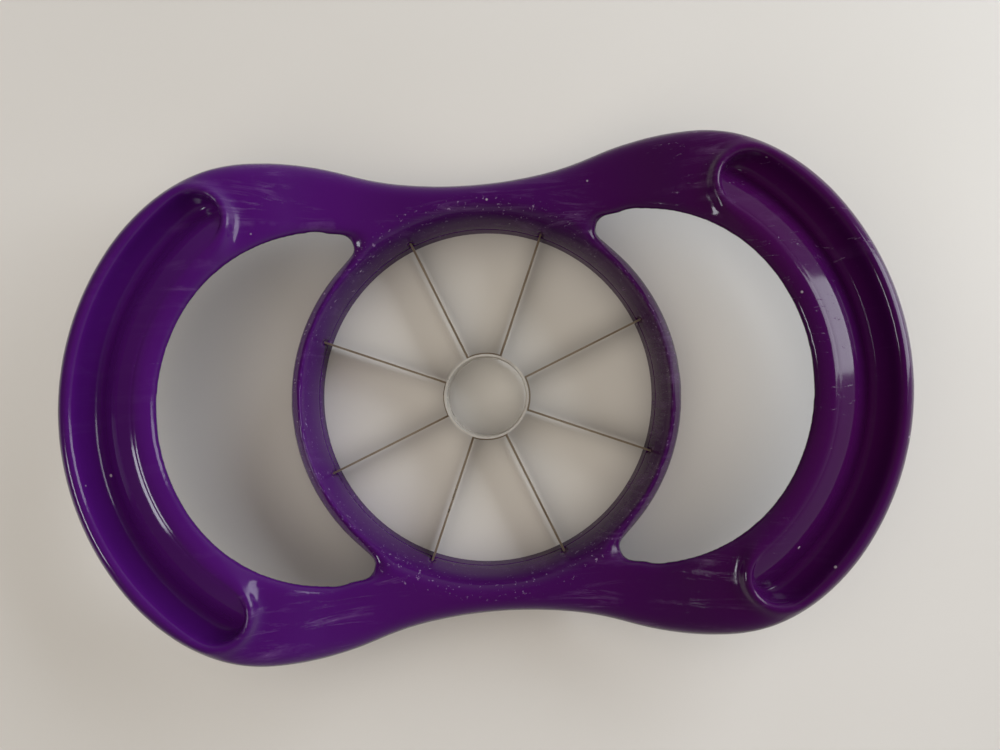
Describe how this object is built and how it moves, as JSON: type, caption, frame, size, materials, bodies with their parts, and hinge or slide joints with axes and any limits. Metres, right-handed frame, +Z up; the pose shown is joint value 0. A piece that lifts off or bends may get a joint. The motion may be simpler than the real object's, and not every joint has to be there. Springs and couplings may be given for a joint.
{
  "type": "apple slicer",
  "caption": "Press-down apple slicer: raised two-handled moulded frame around a cutting circle with radial steel blades and a round corer.",
  "frame": {"origin": "centre of the cutting circle on the surface the slicer stands on", "axes": "+X from the left handle to the right handle, +Y across the slicer, +Z up, away from the cutting edges"},
  "size_m": [0.198, 0.1204, 0.0343],
  "materials": {
    "violet_plastic": "glossy moulded plastic, deep violet, light scuffs",
    "ring_plastic": "glossy moulded plastic, deep violet",
    "corer_steel": "rolled stainless strip, fine grain round the tube",
    "blade_steel": "rolled stainless strip, ground lower edge"
  },
  "bodies": {
    "root": {"handle_frame": "violet_plastic", "blade_retaining_ring": "ring_plastic", "corer_ring": "corer_steel", "blade_right": "blade_steel", "blade_rear": "blade_steel", "blade_left": "blade_steel", "blade_front": "blade_steel"}
  },
  "joints": []
}
